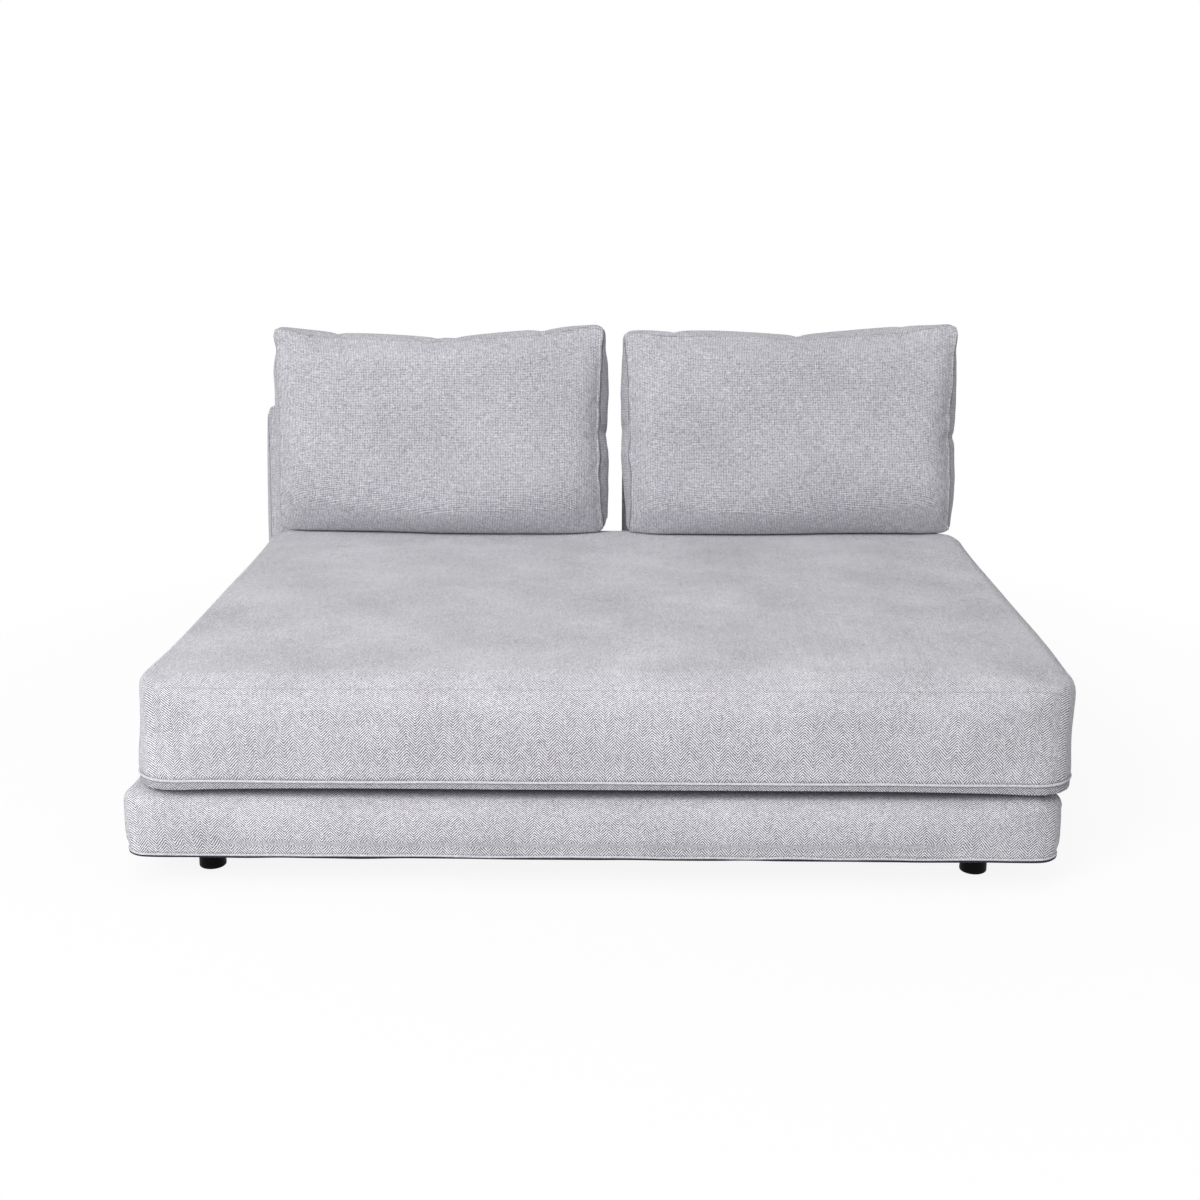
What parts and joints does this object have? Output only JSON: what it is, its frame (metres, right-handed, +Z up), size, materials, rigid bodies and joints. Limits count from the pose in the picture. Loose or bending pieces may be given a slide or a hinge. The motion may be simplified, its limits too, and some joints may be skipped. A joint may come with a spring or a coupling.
{
  "type": "outdoor daybed",
  "caption": "Low upholstered daybed with a box platform on round feet, a thick loose seat cushion, plug-in raked backrests and loose back cushions.",
  "frame": {"origin": "floor level, on the mid-plane of the platform width, at the middle of the overall depth", "axes": "+X to the right of someone facing the daybed, +Y towards the backrests, +Z up"},
  "size_m": [1.6097, 1.3561, 0.8294],
  "materials": {
    "upholstery": "pale lilac-grey woven upholstery fabric",
    "piping": "fabric-covered piping cord in the same cloth",
    "lining": "black non-woven bottom lining",
    "foam": "upholstery foam",
    "fibre_fill": "polyester fibre wadding",
    "webbing": "elastic upholstery webbing",
    "timber": "planed pine",
    "plywood": "birch plywood",
    "foot_plastic": "black moulded plastic",
    "black_steel": "black powder-coated steel",
    "zinc_steel": "zinc-plated steel",
    "zip": "nylon coil zip on woven tape",
    "zip_metal": "nickel-plated zip slider"
  },
  "bodies": {
    "platform": {"corner_blocks": "timber", "foot_front_left": "foot_plastic", "foot_front_right": "foot_plastic", "foot_plates": "plywood", "foot_rear_left": "foot_plastic", "foot_rear_right": "foot_plastic", "foot_studs": "zinc_steel", "foot_tee_nuts": "zinc_steel", "joists": "timber", "platform_cover": "upholstery", "platform_hem": "upholstery", "platform_lining": "lining", "platform_pad": "foam", "platform_piping": "piping", "platform_side_foam": "foam", "post_sleeves": "black_steel", "rail_front": "timber", "rail_left": "timber", "rail_rear": "timber", "rail_right": "timber", "sleeve_screws": "zinc_steel", "sleeve_wedges": "timber", "webbing_crosswise": "webbing", "webbing_lengthwise": "webbing"},
    "seat": {"seat_core": "foam", "seat_cover_band": "upholstery", "seat_cover_top": "upholstery", "seat_cover_underside": "upholstery", "seat_piping": "piping", "seat_topper": "fibre_fill", "seat_zip": "zip"},
    "seat_slider": {"seat_zip_slider": "zip_metal"},
    "backrest_left": {"backrest_left_bolts": "zinc_steel", "backrest_left_cover": "upholstery", "backrest_left_foam": "foam", "backrest_left_panel": "plywood", "backrest_left_posts": "black_steel", "backrest_left_rails": "timber", "backrest_left_stiles": "timber"},
    "cushion_left": {"cushion_left_fill": "fibre_fill", "cushion_left_front_panel": "upholstery", "cushion_left_gusset": "upholstery", "cushion_left_rear_panel": "upholstery", "cushion_left_zip": "zip"},
    "cushion_left_slider": {"cushion_left_zip_slider": "zip_metal"},
    "backrest_right": {"backrest_right_bolts": "zinc_steel", "backrest_right_cover": "upholstery", "backrest_right_foam": "foam", "backrest_right_panel": "plywood", "backrest_right_posts": "black_steel", "backrest_right_rails": "timber", "backrest_right_stiles": "timber"},
    "cushion_right": {"cushion_right_fill": "fibre_fill", "cushion_right_front_panel": "upholstery", "cushion_right_gusset": "upholstery", "cushion_right_rear_panel": "upholstery", "cushion_right_zip": "zip"},
    "cushion_right_slider": {"cushion_right_zip_slider": "zip_metal"}
  },
  "joints": [
    {"name": "seat_lift", "type": "slide", "parent": "platform", "child": "seat", "axis": [0, 0, 1], "range_m": [0, 0.5]},
    {"name": "seat_zip_travel", "type": "slide", "parent": "seat", "child": "seat_slider", "axis": [1, 0, 0], "range_m": [0, 1.295]},
    {"name": "backrest_left_lift", "type": "slide", "parent": "platform", "child": "backrest_left", "axis": [0, 0.1564, 0.9877], "range_m": [0, 0.14]},
    {"name": "cushion_left_lift", "type": "slide", "parent": "seat", "child": "cushion_left", "axis": [0, 0.1564, 0.9877], "range_m": [0, 0.4]},
    {"name": "cushion_left_zip_travel", "type": "slide", "parent": "cushion_left", "child": "cushion_left_slider", "axis": [1, 0, 0], "range_m": [0, 0.485]},
    {"name": "backrest_right_lift", "type": "slide", "parent": "platform", "child": "backrest_right", "axis": [0, 0.1564, 0.9877], "range_m": [0, 0.14]},
    {"name": "cushion_right_lift", "type": "slide", "parent": "seat", "child": "cushion_right", "axis": [0, 0.1564, 0.9877], "range_m": [0, 0.4]},
    {"name": "cushion_right_zip_travel", "type": "slide", "parent": "cushion_right", "child": "cushion_right_slider", "axis": [1, 0, 0], "range_m": [0, 0.485]}
  ]
}
